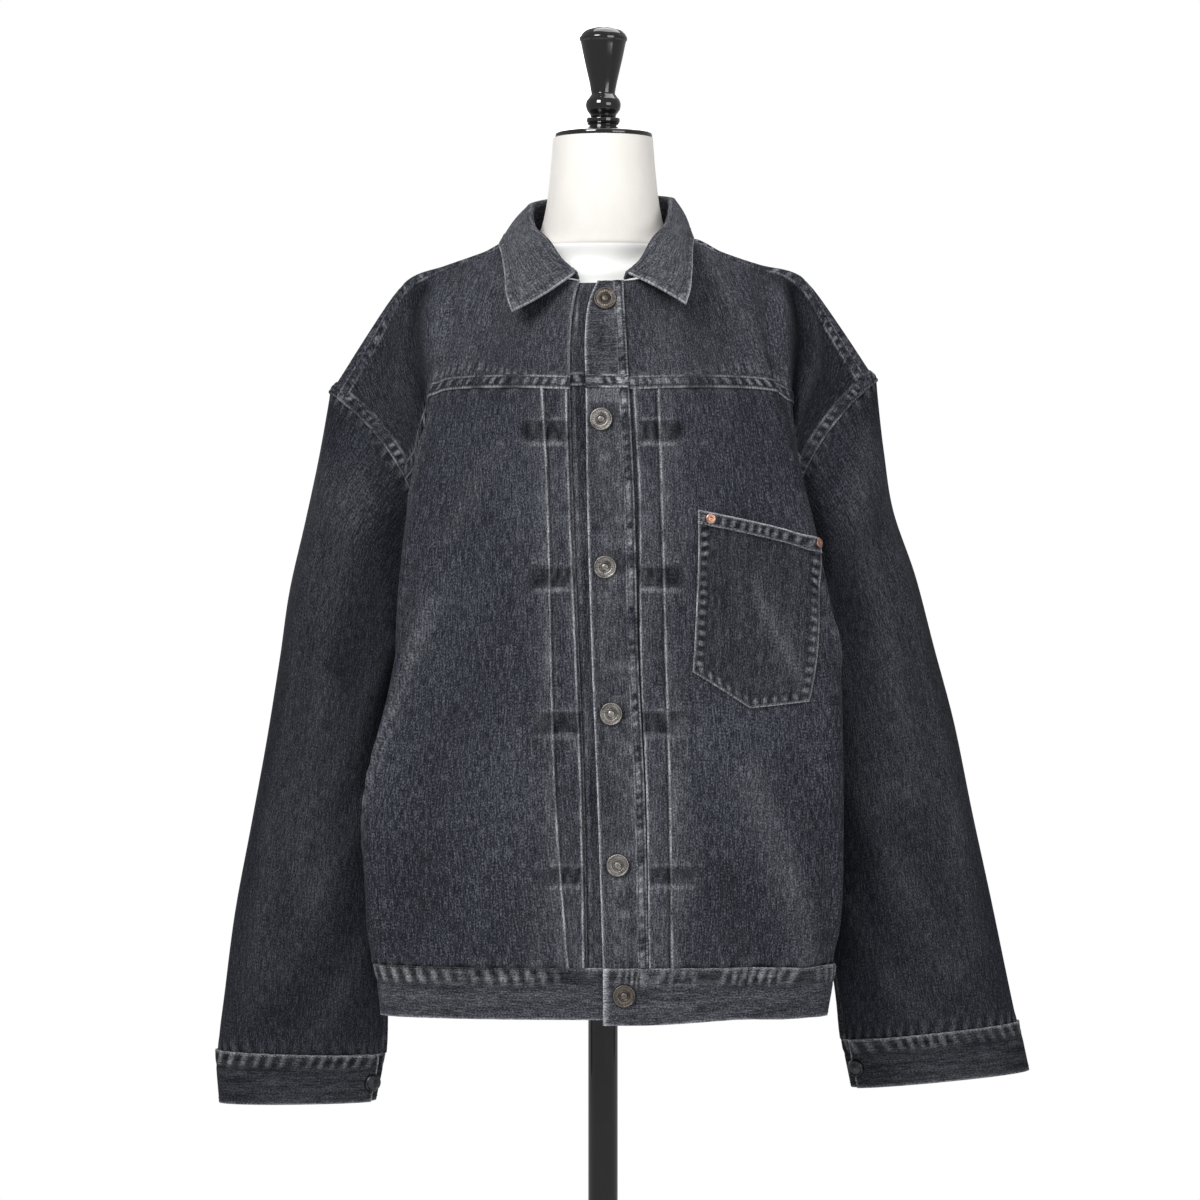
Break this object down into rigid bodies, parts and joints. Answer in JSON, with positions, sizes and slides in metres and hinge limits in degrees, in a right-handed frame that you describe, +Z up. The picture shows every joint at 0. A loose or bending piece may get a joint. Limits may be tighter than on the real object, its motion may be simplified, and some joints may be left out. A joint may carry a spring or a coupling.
{
  "type": "denim jacket on a limbless dress form with a pole stand",
  "caption": "Buttoned boxy denim jacket with dropped shoulders, pleated fronts and a patch pocket, worn by a limbless dress form on a pole stand.",
  "frame": {"origin": "centre of the base's underside, on the surface that the stand rests on", "axes": "+Z up along the pole, -Y out of the jacket's front, +X to the wearer's left"},
  "size_m": [0.6882, 0.3, 1.52],
  "materials": {
    "washed_denim": "matte",
    "form_cloth": "matte",
    "black_lacquer": "gloss",
    "antique_metal": "antique",
    "copper": "satin"
  },
  "bodies": {
    "root": {"base": "black_lacquer", "pole": "black_lacquer", "neck_cap": "black_lacquer", "finial": "black_lacquer", "form_torso": "form_cloth", "back_panel": "washed_denim", "front_left": "washed_denim", "front_right": "washed_denim", "yoke_left": "washed_denim", "yoke_right": "washed_denim", "placket_left": "washed_denim", "placket_right": "washed_denim", "waistband": "washed_denim", "collar": "washed_denim", "sleeve_left": "washed_denim", "sleeve_under_left": "washed_denim", "sleeve_right": "washed_denim", "sleeve_under_right": "washed_denim", "cuff_left": "washed_denim", "cuff_right": "washed_denim", "pocket": "washed_denim", "pocket_hem": "washed_denim", "button_1": "antique_metal", "button_2": "antique_metal", "button_3": "antique_metal", "button_4": "antique_metal", "button_5": "antique_metal", "button_6": "antique_metal", "cuff_button_left": "antique_metal", "cuff_button_right": "antique_metal", "rivet_1": "copper", "rivet_2": "copper"}
  },
  "joints": []
}
